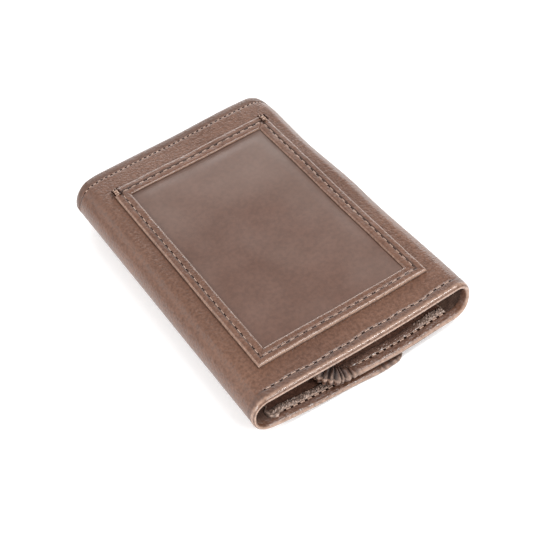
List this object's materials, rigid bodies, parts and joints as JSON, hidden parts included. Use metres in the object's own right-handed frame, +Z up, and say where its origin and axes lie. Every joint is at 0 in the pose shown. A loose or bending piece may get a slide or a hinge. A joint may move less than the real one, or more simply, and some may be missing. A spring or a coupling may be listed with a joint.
{
  "type": "trifold wallet",
  "caption": "Leather trifold wallet, closed, with an outside ID window, an open-ended bill compartment, stitched card pockets and two folds that open together.",
  "frame": {"origin": "under the middle of the closed wallet's bounding box, on the surface it lies on", "axes": "+Z up out of the ID window, +Y along the wallet's length from the open end of the bill compartment to the sewn far end, +X across it from the big left fold to the small right fold"},
  "size_m": [0.081, 0.114, 0.0176],
  "materials": {
    "outer_leather": "smooth chocolate leather with fine grain and a soft waxy sheen",
    "inner_leather": "thin matt chocolate leather",
    "lining": "dark woven lining",
    "thread": "twisted brown sewing thread",
    "clear_film": "clear soft plastic film"
  },
  "bodies": {
    "outer_wing": {"outer_wing_leather": "outer_leather", "outer_wing_lining": "lining", "outer_wing_card_panel": "inner_leather", "outer_wing_pocket_rear": "inner_leather", "outer_wing_pocket_front": "inner_leather", "outer_wing_stitching": "thread", "outer_wing_pocket_stitching": "thread"},
    "left_fold": {"left_fold_leather": "outer_leather", "left_fold_lining": "lining"},
    "center_panel": {"center_shell": "outer_leather", "center_lining": "lining", "bill_divider": "lining", "center_card_panel": "inner_leather", "center_pocket_rear": "inner_leather", "center_pocket_middle": "inner_leather", "center_pocket_front": "inner_leather", "id_frame": "outer_leather", "id_window": "clear_film", "id_frame_stitching": "thread", "id_bar_tacks": "thread", "open_end_stitching": "thread", "far_end_stitching": "thread", "center_pocket_stitching": "thread"},
    "right_fold": {"right_fold_leather": "outer_leather", "right_fold_lining": "lining"},
    "inner_wing": {"inner_wing_leather": "outer_leather", "inner_wing_lining": "lining", "inner_wing_card_panel": "inner_leather", "inner_wing_pocket_rear": "inner_leather", "inner_wing_pocket_front": "inner_leather", "inner_wing_stitching": "thread", "inner_wing_pocket_stitching": "thread"}
  },
  "joints": [
    {"name": "left_fold_lower", "type": "hinge", "parent": "outer_wing", "child": "left_fold", "pos_m": [-0.0392, 0, 0.0013], "axis": [0, -1, 0], "range_deg": [0, 88]},
    {"name": "left_fold_upper", "type": "hinge", "parent": "left_fold", "child": "center_panel", "pos_m": [-0.0392, 0, 0.0148], "axis": [0, -1, 0], "range_deg": [0, 88]},
    {"name": "right_fold_upper", "type": "hinge", "parent": "center_panel", "child": "right_fold", "pos_m": [0.0378, 0, 0.0161], "axis": [0, -1, 0], "range_deg": [0, 53]},
    {"name": "right_fold_lower", "type": "hinge", "parent": "right_fold", "child": "inner_wing", "pos_m": [0.0378, 0, 0.00365], "axis": [0, -1, 0], "range_deg": [0, 53]}
  ],
  "couplings": [
    {"joint": "left_fold_upper", "follows": "left_fold_lower", "ratio": 1},
    {"joint": "right_fold_upper", "follows": "left_fold_lower", "ratio": 0.6},
    {"joint": "right_fold_lower", "follows": "left_fold_lower", "ratio": 0.6}
  ]
}
